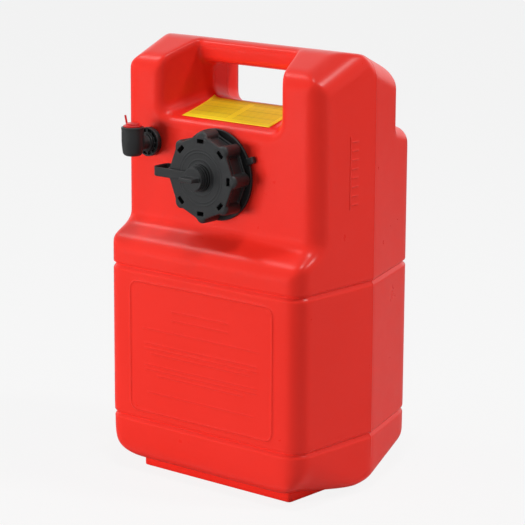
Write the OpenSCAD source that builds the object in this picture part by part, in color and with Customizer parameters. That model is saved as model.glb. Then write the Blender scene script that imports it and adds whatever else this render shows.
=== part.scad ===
// Portable outboard fuel tank: a blow-moulded tank with a carrying bar, a lobed
// filler cap with a vent screw and tether, and a fuel outlet with a pickup tube.
// The origin is on the foot's underside, below the filler cap, in the plane where
// the rear half starts to taper. Front is -Y, up is +Z, sizes are millimetres.

/* [Tank shell] */
// Half the tank's width where the rear half starts to taper
half_width = 117.3; // [105:0.1:130]
// Inward lean of the sides towards the front, in degrees
side_draft = 1.3; // [0.5:0.1:2.5]
// Inward lean of the rear half's sides, in degrees
rear_taper = 18.5; // [14:0.5:22]
// Distance of the lower front face from the crease plane
lower_front = 102.2; // [98:0.2:112]
// Distance of the upper front face from the crease plane
upper_front = 78; // [74:0.5:84]
// Distance of the lower rear face from the crease plane
lower_rear = 102.6; // [96:0.2:112]
// Distance of the rear face behind the handle
upper_rear = 57; // [54:0.5:60]
// Height of the hand hole's sill at the pinched web, which the upper half is built on
sill_height = 346.4; // [320:0.2:380]
// Wall thickness of the moulding
wall = 3; // [2.4:0.1:3.6]

/* [Shell shape] */
// Radius of the lower front's upright corners
front_corner_r = 18.5; // [14:0.5:24]
// Radius of the upright corners between the upper groove and the shoulder
band_corner_r = 16; // [12:0.5:20]
// Radius of the upper front's upright corners
upper_corner_r = 18; // [14:0.5:22]
// Radius of the rear's upright corners
rear_corner_r = 40; // [30:1:50]
// Radius of the pillars' rear corners
pillar_rear_r = 10; // [6:0.5:12]
// Radius of the crown's front side corners
brow_side_r = 23; // [16:1:28]
// Radius of the crown's rear side corners
crown_r = 20; // [14:1:26]
// Radius of the lower side corners at the front face, fading out towards the heel
keel_r = 34; // [24:1:38]
// Fall from the ridge to the crown at the crease plane
crease_drop = 5.2; // [4:0.2:10]
// Fall from the ridge to the top of the upper front face
brow_drop = 17.8; // [14:0.2:22]
// Distance of the shoulder's top below the filler axis
shoulder_drop = 53.5; // [50:0.5:58]
// Fall of the shoulder from the upper to the lower front face
shoulder_fall = 17; // [14:0.5:22]
// Height of the underside at the front face
toe_height = 10.5; // [8:0.5:13]
// Height of the underside where it is lowest
keel_height = 6; // [5:0.5:8]
// Distance of that lowest line in front of the crease plane
keel_line = 18; // [10:1:30]
// Height of the underside at the rear face
heel_height = 24.5; // [18:0.5:32]
// Distance of the foot's front edge from the crease plane
foot_front = 81; // [76:0.5:86]
// Distance of the foot's rear edge from the crease plane
foot_rear = 60; // [50:1:70]
// Distance of the foot's sides from the tank's sides
foot_inset = 28.6; // [24:0.2:34]

/* [Grooves] */
// Distance of the upper belt groove below the shoulder
upper_groove_drop = 23.2; // [16:0.2:30]
// Height of the lower belt groove
lower_groove_z = 52; // [46:0.5:70]
// Width of a belt groove at its mouth
groove_width = 4.4; // [3:0.2:6]
// Depth of a belt groove
groove_depth = 2.4; // [1.6:0.1:2.8]

/* [Handle] */
// Distance of the pinched web from the crease plane
pinch_y = 22.4; // [18:0.2:28]
// Width of each pillar beside the hand hole at the pinched web
pillar_width = 64.3; // [58:0.5:70]
// Height of the hand hole
hole_height = 31.5; // [28:0.5:36]
// Rise from the bar's underside to the crown's ridge
bar_height = 23.9; // [20:0.5:28]
// Widening of the recess towards the front, in degrees
recess_flare = 19; // [14:0.5:21]
// Fall of the recess floor towards the front, in degrees
floor_fall = 14.6; // [10:0.2:17]
// Fall of the sill and the shoulder towards the rear, in degrees
sill_fall = 14; // [10:0.5:18]
// Radius of the recess floor's front lip
lip_r = 13; // [8:0.5:16]
// Radius of the pillars' inner front edges
pillar_r = 9; // [6:0.5:12]
// Distance of the bar's front top edge from the crease plane
bar_front = 39; // [36:0.5:42]
// Distance of the bar's back from the crease plane
bar_back = 13.5; // [10:0.5:18]

/* [Filler neck and cap] */
// Distance of the filler axis below the sill
neck_drop = 58.9; // [56:0.1:62]
// Outside radius of the neck, over the thread's root
neck_r = 29.8; // [28:0.1:30.2]
// Radius of the neck's bore
neck_bore_r = 26; // [24:0.1:26.4]
// Length of the neck from the front face
neck_length = 17; // [15:0.1:18]
// Outer radius of the cap over its lobes
cap_r = 39.5; // [38.5:0.1:41]
// Radius of a lobe's round
lobe_r = 5.8; // [5:0.1:6.4]
// Number of lobes and face slots
lobe_count = 8; // [6:1:8]
// Distance of the cap's front face from the tank's front face
cap_face = 23.4; // [22.6:0.1:25]
// Length of a face slot
slot_length = 7.4; // [6:0.1:8]
// Width of a face slot
slot_width = 3.6; // [3:0.1:4]
// Depth of a face slot
slot_depth = 9; // [4:0.5:12]
// Thickness of the cap's front plate
cap_plate = 3.7; // [3:0.1:4]

/* [Vent screw] */
// Radius of the vent screw's head
vent_head_r = 10.5; // [9.6:0.1:11.4]
// Radius of the vent screw's stem
vent_stem_r = 3; // [2.4:0.1:3.4]
// Length of the thumb wing
wing_length = 15.2; // [12:0.1:17]
// Thickness of the thumb wing
wing_thickness = 3.8; // [3:0.1:5]
// Reach of the thumb wing in front of the head
wing_reach = 9.6; // [7:0.1:12]

/* [Tether] */
// Width of the strap
strap_width = 8.5; // [6.5:0.1:9]
// Thickness of the strap
strap_thickness = 2; // [1.6:0.1:2.2]
// Distance of the strap's outer bend from the filler axis
strap_reach = 57.5; // [55:0.5:59]
// Outer radius of the collar around the neck
collar_r = 42.5; // [41:0.1:43]
// Thickness of the collar
collar_thickness = 2.6; // [2:0.1:2.8]
// Distance of the post that holds the strap's rear eye from the filler axis
post_reach = 46; // [45.6:0.1:46.6]

/* [Fuel outlet] */
// Distance of the outlet axis from the tank's side
port_inset = 37.3; // [36:0.1:38.4]
// Rise of the outlet axis above the filler axis
port_rise = 21.2; // [19:0.2:24]
// Radius of the finger nut
nut_r = 13.3; // [12:0.1:14]
// Number of ribs in the finger nut
nut_ribs = 12; // [6:1:14]
// Radius of the threaded shank through the wall
shank_r = 7.5; // [7:0.1:8]
// Radius of the elbow's barrel at its mouth
barrel_r = 10.3; // [9.6:0.1:10.8]
// Distance of the barrel's axis from the tank's front face
barrel_reach = 25; // [23:0.1:27]
// Height of the barrel above the outlet axis
barrel_rise = 16; // [14:0.1:18]
// Depth of the barrel below the outlet axis
barrel_drop = 10.4; // [9.6:0.1:12]
// Radius of the barrel's bore
hose_bore_r = 5; // [4.4:0.1:5.4]

/* [Pickup] */
// Distance of the pickup tube's axis behind the front face
pickup_depth = 20; // [18:0.5:24]
// Outside radius of the pickup tube
tube_r = 4.5; // [4:0.1:4.8]
// Wall of the pickup tube
tube_wall = 1.2; // [0.8:0.1:1.6]
// Outside radius of the strainer
strainer_r = 8.5; // [7.6:0.1:10]
// Height of the strainer
strainer_height = 30; // [24:1:40]
// Radius of the check ball
ball_r = 3.2; // [2.8:0.1:3.4]
// Wire radius of the check spring
wire_r = 0.35; // [0.3:0.05:0.45]

/* [Hidden] */

$fn = 64;
tank_red = "#e8412f";
black = "#3c3d3f";
rubber_black = "#222222";
big = 600;              // reach of a cutting prism, past every face
eps = 0.01;             // overlap of solids that are joined
arc_step = 11;          // degrees between the points of a rounded corner
running = 0.05;         // radial clearance of a shaft in its hole
seat_gap = 0.1;         // gap between a loose ring and its seat

// Heights and distances that follow from the driving values.
bar_underside = sill_height + hole_height;
ridge_height = bar_underside + bar_height;
crease_height = ridge_height - crease_drop;
brow_height = ridge_height - brow_drop;
neck_height = sill_height - neck_drop;
port_height = neck_height + port_rise;
port_x = half_width - port_inset;
shoulder_high = neck_height - shoulder_drop;
shoulder_low = shoulder_high - shoulder_fall;
upper_groove_z = shoulder_low - upper_groove_drop;
hole_half_width = half_width - pillar_width;
foot_half_width = half_width - foot_inset;

// Outlines ---------------------------------------------------------------

function unit(v) = v / norm(v);
function xy(p) = [p.x, p.y];
function turn(a, b) = (b - a + 540) % 360 - 180;

// The points of an arc that rounds corner b between a and c by radius r.
function corner(a, b, c, r) =
  let (u = unit(a - b), w = unit(c - b), angle = acos(u * w))
  r < 0.05 || angle > 179 ? [b] :
  let (
    centre = b + unit(u + w) * r / sin(angle / 2),
    from = b + u * r / tan(angle / 2) - centre,
    to = b + w * r / tan(angle / 2) - centre,
    start = atan2(from.y, from.x),
    sweep = turn(start, atan2(to.y, to.x)),
    steps = max(1, ceil(abs(sweep) / arc_step))
  )
  [for (i = [0 : steps]) let (t = start + sweep * i / steps) centre + r * [cos(t), sin(t)]];

// A closed outline from [x, y, radius] corners.
function rounded(p) = [for (i = [0 : len(p) - 1])
  each corner(xy(p[(i + len(p) - 1) % len(p)]), xy(p[i]), xy(p[(i + 1) % len(p)]), p[i].z)];

// The same corners moved inwards by t, for an outline that runs anticlockwise.
function moved(p, t) = [for (i = [0 : len(p) - 1])
  let (
    u = unit(xy(p[i]) - xy(p[(i + len(p) - 1) % len(p)])),
    w = unit(xy(p[(i + 1) % len(p)]) - xy(p[i])),
    n = [-u.y, u.x],
    m = [-w.y, w.x],
    q = xy(p[i]) + t * (n + m) / (1 + n * m),
    convex = u.x * w.y - u.y * w.x > 0
  )
  [q.x, q.y, p[i].z <= 0 ? 0 : max(p[i].z + (convex ? -t : t), 0.5)]];

// Shell ------------------------------------------------------------------

function side_at(y) = half_width - (y < 0 ? -y * tan(side_draft) : y * tan(rear_taper));

// Outline seen from above: distances of the front and rear faces, and their corner radii.
function plan(front, corner_r, rear = lower_rear, rear_r = rear_corner_r) = [
  [-side_at(-front), -front, corner_r], [side_at(-front), -front, corner_r],
  [half_width, 0, 0], [side_at(rear), rear, rear_r],
  [-side_at(rear), rear, rear_r], [-half_width, 0, 0]];

// Radii of the corners seen from the right.
toe_r = 18;
heel_r = 14;
rear_shoulder_r = 14;
rear_corner_top_r = 28;
rear_upper_r = 33;      // of the rear's upright corners above the upper groove
ridge_r = 30;
shoulder_r = 16;
fillet_r = 8;
ridge_y = pinch_y + 12;  // the ridge lies in front of the web

// Height of the recess floor and, behind it, of the rear shoulder.
function sill_at(y) = sill_height - (y < -pinch_y
  ? (-pinch_y - y) * tan(floor_fall) : (y + pinch_y) * tan(sill_fall));

// Height of the underside: lowest in front of the crease plane, and rising both ways.
toe_slope = (toe_height - keel_height) / (lower_front - keel_line);
heel_slope = (heel_height - keel_height) / (lower_rear + keel_line);
function under_at(y) = keel_height + (y < -keel_line
  ? (-keel_line - y) * toe_slope : (y + keel_line) * heel_slope);

// Outline seen from the right: [y, z, radius].
side_view = [
  [-lower_front, toe_height, toe_r],
  [-keel_line, keel_height, 0],
  [lower_rear, heel_height, heel_r],
  [lower_rear, sill_at(lower_rear), rear_shoulder_r],
  [upper_rear, sill_at(upper_rear), fillet_r],
  [upper_rear, crease_height - upper_rear * tan(rear_taper), rear_corner_top_r],
  [0, crease_height, 0],
  [-ridge_y, ridge_height, ridge_r],
  [-upper_front, brow_height, toe_r],
  [-upper_front, shoulder_high, shoulder_r],
  [-lower_front, shoulder_low, shoulder_r]];

module extrude_x(points) {
  rotate([90, 0, 90]) translate([0, 0, -big / 2]) linear_extrude(big) polygon(points);
}

module extrude_y(points) {
  rotate([90, 0, 0]) translate([0, 0, -big / 2]) linear_extrude(big) polygon(points);
}

// What rounds the crown's side corners, along the brow in front and along the fall behind.
// Each cutter lies on the top edge of one side: slope is its rise to the rear and lean its
// turn inwards. The side and the top meet a little off square along it.
edge_lift = 0.05;       // keeps the cutter's ends off the faces that it meets
module edge_cutter(slope, lean, r) {
  off_square = asin(sin(lean) * sin(-slope));
  arc = corner([0, -4 * r], [0, 0], [-4 * r, 4 * r * tan(off_square)], r);
  last = arc[len(arc) - 1];
  rotate([atan(tan(slope) * cos(lean)), 0, lean]) translate([edge_lift, 0, edge_lift])
    extrude_y(concat(arc, [[last.x, r], [r, r], [r, arc[0].y]]));
}

module crown_cutter(t) {
  for (side = [0, 1]) mirror([side, 0, 0]) {
    translate([side_at(-ridge_y) - t, -ridge_y, ridge_height - t])
      edge_cutter(atan(brow_drop / (upper_front - ridge_y)), -side_draft, brow_side_r - t);
    translate([half_width - t, 0, crease_height - t])
      edge_cutter(-rear_taper, rear_taper, crown_r - t);
  }
}

// The same for the side edges of the rear shoulder.
module shoulder_cutter(t) {
  for (side = [0, 1]) mirror([side, 0, 0])
    translate([half_width - t, 0, sill_at(0) - t])
      edge_cutter(-sill_fall, rear_taper, rear_shoulder_r - t);
}

// What rounds the lower side corners, from keel_r at the front face to nothing at the keel line.
keel_ahead = 10;        // reach of the cutter in front of the face
module keel_cutter(t) {
  front = lower_front + keel_ahead;
  full_r = keel_r * (front - keel_line) / (lower_front - keel_line);
  length = (front - keel_line) * (1 - t / full_r);
  r = full_r - t;
  for (side = [0, 1]) mirror([side, 0, 0])
    translate([side_at(-front) - t, -front, under_at(-front) + t])
      rotate([-90 - atan(toe_slope), 0, -side_draft])
        linear_extrude(length, scale = 0) polygon(concat(
          corner([0, -2 * r], [0, 0], [-2 * r, 0], r), [[-r, r], [r, r], [r, -r]]));
}

// The whole outer form, shrunk by t.
module form(t) {
  difference() {
    levels(t);
    keel_cutter(t);
    crown_cutter(t);
  }
}

module levels(t) {
  intersection() {
    extrude_x(rounded(moved(side_view, t)));
    union() {
      linear_extrude(upper_groove_z + eps) polygon(rounded(moved(plan(lower_front, front_corner_r), t)));
      translate([0, 0, upper_groove_z]) linear_extrude(shoulder_high - upper_groove_z)
        polygon(rounded(moved(plan(lower_front, band_corner_r, lower_rear, rear_upper_r), t)));
      difference() {
        translate([0, 0, upper_groove_z])
          linear_extrude(sill_at(upper_rear) + fillet_r / 2 - t - upper_groove_z)
            polygon(rounded(moved(plan(upper_front, upper_corner_r, lower_rear, rear_upper_r), t)));
        shoulder_cutter(t);
      }
      linear_extrude(big) polygon(rounded(moved(
        plan(upper_front, upper_corner_r, upper_rear, pillar_rear_r), t)));
    }
  }
}

foot_corner_r = 7;
foot_rear_r = 18;
foot_rise = under_at(foot_rear) + 2 * wall;  // runs up into the body
module foot(t) {
  rear_half = foot_half_width - foot_rear * tan(rear_taper);
  translate([0, 0, t]) linear_extrude(foot_rise)
    polygon(rounded(moved([
      [-foot_half_width, -foot_front, foot_corner_r], [foot_half_width, -foot_front, foot_corner_r],
      [foot_half_width, 0, 0], [rear_half, foot_rear, foot_rear_r],
      [-rear_half, foot_rear, foot_rear_r], [-foot_half_width, 0, 0]], t)));
}

// Hand hole and recesses -------------------------------------------------

function flare_at(y) = hole_half_width + abs(y + pinch_y) * tan(recess_flare);
knuckle_y = bar_back + 4;             // where the rear recess starts to open
knuckle_x = hole_half_width + 6;
knuckle_r = 16;
rear_mouth_x = knuckle_x + (upper_rear - knuckle_y) * tan(40);
mouth_r = 3;

// Seen from above: narrow at the pinched web, wider to the front and rear.
recess_plan = [
  [-big / 2, -upper_front, 0], [-big / 2, -big / 2, 0], [big / 2, -big / 2, 0],
  [big / 2, -upper_front, 0], [flare_at(-upper_front), -upper_front, pillar_r],
  [hole_half_width, -pinch_y, 0], [knuckle_x, knuckle_y, knuckle_r],
  [rear_mouth_x, upper_rear, mouth_r], [big / 2, upper_rear, 0],
  [big / 2, big / 2, 0], [-big / 2, big / 2, 0], [-big / 2, upper_rear, 0],
  [-rear_mouth_x, upper_rear, mouth_r], [-knuckle_x, knuckle_y, knuckle_r],
  [-hole_half_width, -pinch_y, 0], [-flare_at(-upper_front), -upper_front, pillar_r]];

// Seen from the right: the floor, the pinched sill and the rear slope.
recess_side = [
  [-upper_front, -big / 2, 0], [-upper_front, sill_at(-upper_front), lip_r],
  [-pinch_y, sill_height, 0], [big / 2, sill_at(big / 2), 0],
  [big / 2, big, 0], [-big / 2, big, 0], [-big / 2, -big / 2, 0]];

recess_start = sill_height - 60;      // below every part of the recess
module recess(t) {
  intersection() {
    linear_extrude(big) polygon(rounded(moved(recess_plan, -t)));
    extrude_x(rounded(moved([for (i = [len(recess_side) - 1 : -1 : 0]) recess_side[i]], t)));
    translate([-big / 2, -upper_front - 20, recess_start]) cube([big, big, big]);
  }
}

// The bar's section, seen from the right.
bar_r = 5;
bar_lift = 3.5;         // rise of the underside from the web to the edges
bar_crest = 5;          // distance of the crest in front of the web
bar_top = ridge_height - 0.8;
bar_section = [
  [-pinch_y, bar_underside, 0],
  [bar_back, bar_underside + bar_lift, bar_r - 1],
  [bar_back, crease_height - bar_back * tan(rear_taper), bar_r],
  [0, crease_height, 0],
  [-pinch_y - bar_crest, bar_top, 2 * bar_r],
  [-bar_front, bar_top - 1.8, bar_r],
  [-bar_front + bar_lift, bar_underside + bar_lift, bar_r + 2]];
bar_reach = hole_half_width + 12;    // runs into the pillars

module bar(t) {
  intersection() {
    extrude_x(rounded(moved(bar_section, t)));
    translate([-bar_reach, -big / 2, 0]) cube([2 * bar_reach, big, big]);
  }
}

// Belt grooves -----------------------------------------------------------

belt_rim = 10;          // reach of the cutter outside the faces
belt_step = 0.6;        // depth of the groove's lower half, of the whole
module belt(z, depth, grow) {
  width = groove_width + 2 * grow;
  translate([0, 0, z - width / 2]) difference() {
    linear_extrude(width) polygon(rounded(moved(plan(lower_front, front_corner_r), -belt_rim)));
    for (k = [0, 1])
      translate([0, 0, k * width / 2 - eps]) linear_extrude(width / 2 + 2 * eps)
        polygon(rounded(moved(plan(lower_front, front_corner_r), k == 0 ? depth * belt_step : depth)));
  }
}

// Frames of the filler and of the outlet: +Z there points out of the front face.
module at_neck() {
  translate([0, -upper_front, neck_height]) rotate([90, 0, 0]) children();
}

module at_port() {
  translate([-port_x, -upper_front, port_height]) rotate([90, 0, 0]) children();
}

port_hole_r = shank_r + 0.3;

module tank_body() {
  color(tank_red) difference() {
    union() {
      difference() {
        union() {
          form(0);
          foot(0);
        }
        recess(0);
        belt(upper_groove_z, groove_depth, 0);
        belt(lower_groove_z, groove_depth, 0);
      }
      bar(0);
      at_neck() translate([0, 0, -wall]) cylinder(r = neck_r, h = wall + neck_length);
    }
    difference() {
      union() {
        form(wall);
        foot(wall);
      }
      recess(wall);
      belt(upper_groove_z, groove_depth + wall, wall);
      belt(lower_groove_z, groove_depth + wall, wall);
    }
    bar(wall);
    at_neck() translate([0, 0, -wall - 1]) cylinder(r = neck_bore_r, h = neck_length + wall + 2);
    at_port() translate([0, 0, -wall - 1]) cylinder(r = port_hole_r, h = wall + 2);
  }
}

// A plain sheet on the recess floor, square to the pillars.
label_width = 2 * hole_half_width - 1;
label_depth = 43.5;
label_back = 4;
label_thickness = 0.4;
module label() {
  color("#f3d021")
    translate([0, -pinch_y, sill_height]) rotate([floor_fall, 0, 0])
      translate([-label_width / 2, -label_depth - label_back, 0])
        cube([label_width, label_depth, label_thickness]);
}

// Tether -----------------------------------------------------------------

nub_angle = 23;
post_r = 2.5;
post_length = 4.6;
lug_reach = 4.5;        // of the collar's lug, past the post
lug_root = 1;           // distance of the lug's root from the neck
module tether_collar() {
  color(black) at_neck() difference() {
    union() {
      cylinder(r = collar_r, h = collar_thickness);
      rotate(nub_angle) translate([collar_r - 3, -3, 0]) cube([9, 6, collar_thickness + 2]);
      translate([-post_reach - lug_reach, -strap_width / 2, 0])
        cube([post_reach + lug_reach - neck_r - lug_root, strap_width, collar_thickness]);
      translate([-post_reach, 0, 0]) cylinder(r = post_r, h = collar_thickness + 0.4 + post_length);
    }
    translate([0, 0, -1]) cylinder(r = neck_r + 0.25, h = collar_thickness + 4);
  }
}

// The strap runs across the cap's face, bends back and ends on the post.
hub_r = 9;
hub_height = 2.8;
eye_base = cap_face + 0.3;
eye_top = eye_base + strap_thickness;
foot_base = collar_thickness + 0.4;
strap_path = [
  [0, eye_base, 0], [0, eye_top, 0], [-strap_reach, eye_top, 8], [-strap_reach, foot_base, 4],
  [-post_reach, foot_base, 0], [-post_reach, foot_base + strap_thickness, 0],
  [-strap_reach + strap_thickness, foot_base + strap_thickness, 2],
  [-strap_reach + strap_thickness, eye_base, 6]];
module tether_strap() {
  color(black) at_neck() difference() {
    union() {
      rotate([90, 0, 0]) translate([0, 0, -strap_width / 2])
        linear_extrude(strap_width) polygon(rounded(strap_path));
      translate([0, 0, eye_base]) cylinder(r = hub_r + 3, h = strap_thickness);
      translate([-post_reach, 0, foot_base]) cylinder(r = post_r + 2.3, h = strap_thickness);
    }
    translate([0, 0, eye_base - 1]) cylinder(r = hub_r + 0.15, h = strap_thickness + 2);
    translate([-post_reach, 0, foot_base - 1]) cylinder(r = post_r + running, h = strap_thickness + 2);
  }
}

// Cap and vent -----------------------------------------------------------

skirt_bottom = collar_thickness + 1.2;
skirt_bore_r = neck_r + 1.4;
plate_underside = cap_face - cap_plate;
lobe_centre = cap_r - lobe_r;
lobe_proud = 4.2;       // reach of the lobes past the flats between them
panel_depth = 2.4;      // of the flats' recess behind the front plate
rim_height = 2;         // of the flats' rear rim
slot_r = lobe_centre + 0.3;
flat_distance = cap_r - lobe_proud;
stem_hole_r = vent_stem_r + running;

// A prism with one flat between each two lobes.
module flats(distance, height) {
  cylinder(r = distance / cos(180 / lobe_count), h = height, $fn = lobe_count);
}

module fill_cap() {
  lobe_step = 360 / lobe_count;
  color(black) at_neck() difference() {
    union() {
      translate([0, 0, skirt_bottom]) {
        flats(flat_distance - panel_depth, cap_face - skirt_bottom);
        flats(flat_distance, rim_height);
        for (k = [0 : lobe_count - 1]) rotate(k * lobe_step)
          translate([lobe_centre, 0, 0]) cylinder(r = lobe_r, h = cap_face - skirt_bottom);
      }
      translate([0, 0, plate_underside]) flats(flat_distance, cap_plate);
      translate([0, 0, cap_face - eps]) cylinder(r = hub_r, h = hub_height + eps);
    }
    translate([0, 0, skirt_bottom - 1]) cylinder(r = skirt_bore_r, h = plate_underside - skirt_bottom + 1);
    translate([0, 0, plate_underside - 1]) cylinder(r = stem_hole_r, h = cap_plate + hub_height + 2);
    for (k = [0 : lobe_count - 1]) rotate(k * lobe_step)
      translate([slot_r - slot_width / 2, -slot_length / 2, cap_face - slot_depth])
        cube([slot_width, slot_length, slot_depth + 1]);
  }
}

gasket_thickness = plate_underside - neck_length - 2 * seat_gap;
module cap_gasket() {
  color(rubber_black) at_neck() translate([0, 0, neck_length + seat_gap]) difference() {
    cylinder(r = skirt_bore_r - 0.2, h = gasket_thickness);
    translate([0, 0, -1]) cylinder(r = neck_bore_r, h = gasket_thickness + 2);
  }
}

vent_seal_base = cap_face + hub_height + seat_gap;
vent_seal_thickness = 1;
vent_flange_base = vent_seal_base + vent_seal_thickness + seat_gap;
vent_head_top = vent_flange_base + 6.4;
clip_thickness = 0.9;
clip_base = plate_underside - 4.1;
clip_groove_r = vent_stem_r - 0.8;
module vent_seal() {
  color(rubber_black) at_neck() translate([0, 0, vent_seal_base]) difference() {
    cylinder(r = hub_r - 1.6, h = vent_seal_thickness);
    translate([0, 0, -1]) cylinder(r = vent_stem_r + 0.1, h = vent_seal_thickness + 2);
  }
}

// Stem, two thin rings, the head and its thumb wing.
module vent_screw() {
  color(black) at_neck() {
    difference() {
      translate([0, 0, clip_base - 1.2]) cylinder(r = vent_stem_r, h = vent_flange_base - clip_base + 1.4);
      translate([0, 0, clip_base - running]) difference() {
        cylinder(r = vent_stem_r + 1, h = clip_thickness + 2 * running);
        translate([0, 0, -1]) cylinder(r = clip_groove_r, h = clip_thickness + 3);
      }
    }
    translate([0, 0, vent_flange_base]) cylinder(r = vent_head_r + 1.2, h = 1.3);
    translate([0, 0, vent_flange_base + 1.2]) cylinder(r = vent_head_r - 1, h = 1.2);
    translate([0, 0, vent_flange_base + 2.3]) cylinder(r = vent_head_r + 0.5, h = 0.9);
    translate([0, 0, vent_flange_base + 3.1]) cylinder(r = vent_head_r - 0.6, h = 0.9);
    translate([0, 0, vent_flange_base + 3.9]) cylinder(r = vent_head_r, h = vent_head_top - vent_flange_base - 3.9);
    translate([-wing_length / 2, -wing_thickness / 2, vent_head_top - 1])
      cube([wing_length, wing_thickness, wing_reach + 1]);
  }
}

// A snap clip that keeps the screw in the cap.
module vent_clip() {
  color("#b9bcc0") at_neck() translate([0, 0, clip_base]) difference() {
    cylinder(r = vent_stem_r + 2.4, h = clip_thickness);
    translate([0, 0, -1]) cylinder(r = clip_groove_r + running, h = clip_thickness + 2);
    translate([0, -clip_groove_r + 0.3, -1]) cube([10, 2 * clip_groove_r - 0.6, clip_thickness + 2]);
  }
}

// Fuel outlet ------------------------------------------------------------

gasket_height = 1.8;
nut_base = gasket_height;
nut_height = 4.4;
nut_top = nut_base + nut_height;
shank_end = nut_top - 0.4;
socket_r = 4.5;
module outlet_gasket() {
  color(rubber_black) at_port() difference() {
    cylinder(r = nut_r - 1, h = gasket_height);
    translate([0, 0, -1]) cylinder(r = port_hole_r, h = gasket_height + 2);
  }
}

// A cupped finger nut with radial ribs.
module outlet_nut() {
  hub = shank_r + 1.5;
  rim = nut_r - 1.5;
  color(black) at_port() translate([0, 0, nut_base]) difference() {
    union() {
      difference() {
        cylinder(r = nut_r, h = nut_height);
        translate([0, 0, 1.6]) cylinder(r = rim, h = nut_height);
      }
      cylinder(r = hub, h = nut_height);
      for (k = [0 : nut_ribs - 1]) rotate(k * 360 / nut_ribs)
        translate([hub - 0.5, -0.5, 0]) cube([rim - hub + 1, 1, nut_height - 0.8]);
    }
    translate([0, 0, -1]) cylinder(r = shank_r + running, h = nut_height + 2);
  }
}

// Inside body of the outlet: shank, flange and the upright valve chamber.
inner_gap = 0.2;
chamber_r = tube_r + running;
chamber_wall = 3;
chamber_rise = 9;
chamber_drop = 25;
spigot_depth = 11;
module at_pickup() {
  translate([-port_x, -upper_front + pickup_depth, port_height]) children();
}

module pickup_housing() {
  color(black) difference() {
    union() {
      at_port() {
        translate([0, 0, -pickup_depth]) cylinder(r = shank_r, h = pickup_depth + shank_end);
        translate([0, 0, -wall - inner_gap - 3]) cylinder(r = shank_r + 4.5, h = 3);
      }
      at_pickup() translate([0, 0, -chamber_drop])
        cylinder(r = chamber_r + chamber_wall, h = chamber_drop + chamber_rise);
    }
    at_port() {
      translate([0, 0, -spigot_depth]) cylinder(r = socket_r, h = spigot_depth + shank_end + 1);
      translate([0, 0, -pickup_depth]) cylinder(r = 3, h = pickup_depth);
    }
    at_pickup() translate([0, 0, -chamber_drop - 1]) cylinder(r = chamber_r, h = chamber_drop + chamber_rise - 1);
  }
}

cross_bore_r = 2.2;
bore_floor = 3.2;       // depth of the hose bore below the outlet axis
o_ring_r = 0.7;
o_ring_at = -5;
spigot_r = socket_r - running;
module outlet_elbow() {
  color(black) at_port() difference() {
    union() {
      translate([0, 0, -spigot_depth + 0.6]) cylinder(r = spigot_r, h = spigot_depth + nut_top);
      translate([0, 0, nut_top + seat_gap]) cylinder(r = shank_r + 1, h = 2.2);
      translate([0, 0, nut_top + seat_gap]) cylinder(r = 6.4, h = barrel_reach - nut_top - barrel_r / 2);
      translate([0, -barrel_drop, barrel_reach]) rotate([-90, 0, 0]) rotate_extrude()
        polygon(rounded([[0, 0, 0], [barrel_r - 0.9, 0, 3.5], [barrel_r, barrel_drop + barrel_rise - 2, 0],
          [barrel_r, barrel_drop + barrel_rise, 0.8], [0, barrel_drop + barrel_rise, 0]]));
    }
    translate([0, -bore_floor, barrel_reach]) rotate([-90, 0, 0])
      cylinder(r = hose_bore_r, h = barrel_rise + bore_floor + 1);
    translate([0, 0, -spigot_depth - 1]) cylinder(r = cross_bore_r, h = barrel_reach + spigot_depth + 1);
    translate([0, 0, o_ring_at - o_ring_r - 0.1]) difference() {
      cylinder(r = spigot_r + 1, h = 2 * o_ring_r + 0.2);
      translate([0, 0, -1]) cylinder(r = socket_r - 2 * o_ring_r - 0.05, h = 2 * o_ring_r + 3);
    }
  }
}

module elbow_o_ring() {
  color(rubber_black) at_port() translate([0, 0, o_ring_at])
    rotate_extrude() translate([socket_r - o_ring_r - 0.02, 0]) circle(r = o_ring_r, $fn = 24);
}

// Stopper, flange and pull of the shipping plug, with its thin tail.
plug_depth = 11;
module transport_plug() {
  color("#d6262b") translate([-port_x, -upper_front - barrel_reach, port_height + barrel_rise]) {
    translate([0, 0, -plug_depth]) cylinder(r = hose_bore_r - running, h = plug_depth + 1);
    translate([0, 0, seat_gap]) cylinder(r = barrel_r - 1.8, h = 1.4);
    translate([0, 0, seat_gap]) cylinder(r = hose_bore_r + 1, h = 3.4);
    translate([-barrel_r + 3.4, 0, seat_gap + 1]) rotate([0, -14, 0]) cylinder(r = 0.9, h = 9);
  }
}

// Pickup valve -----------------------------------------------------------

seat_drop = 17;
seat_height = 3;
seat_hole_r = 2.2;
ball_at = -seat_drop + seat_height + sqrt(ball_r * ball_r - seat_hole_r * seat_hole_r) + 0.02;
module check_seat() {
  color("#c9ccd0") at_pickup() translate([0, 0, -seat_drop]) difference() {
    cylinder(r = chamber_r - running, h = seat_height);
    translate([0, 0, -1]) cylinder(r = seat_hole_r, h = seat_height + 2);
  }
}

module check_ball() {
  color("#d9dbde") at_pickup() translate([0, 0, ball_at]) sphere(r = ball_r);
}

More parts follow.
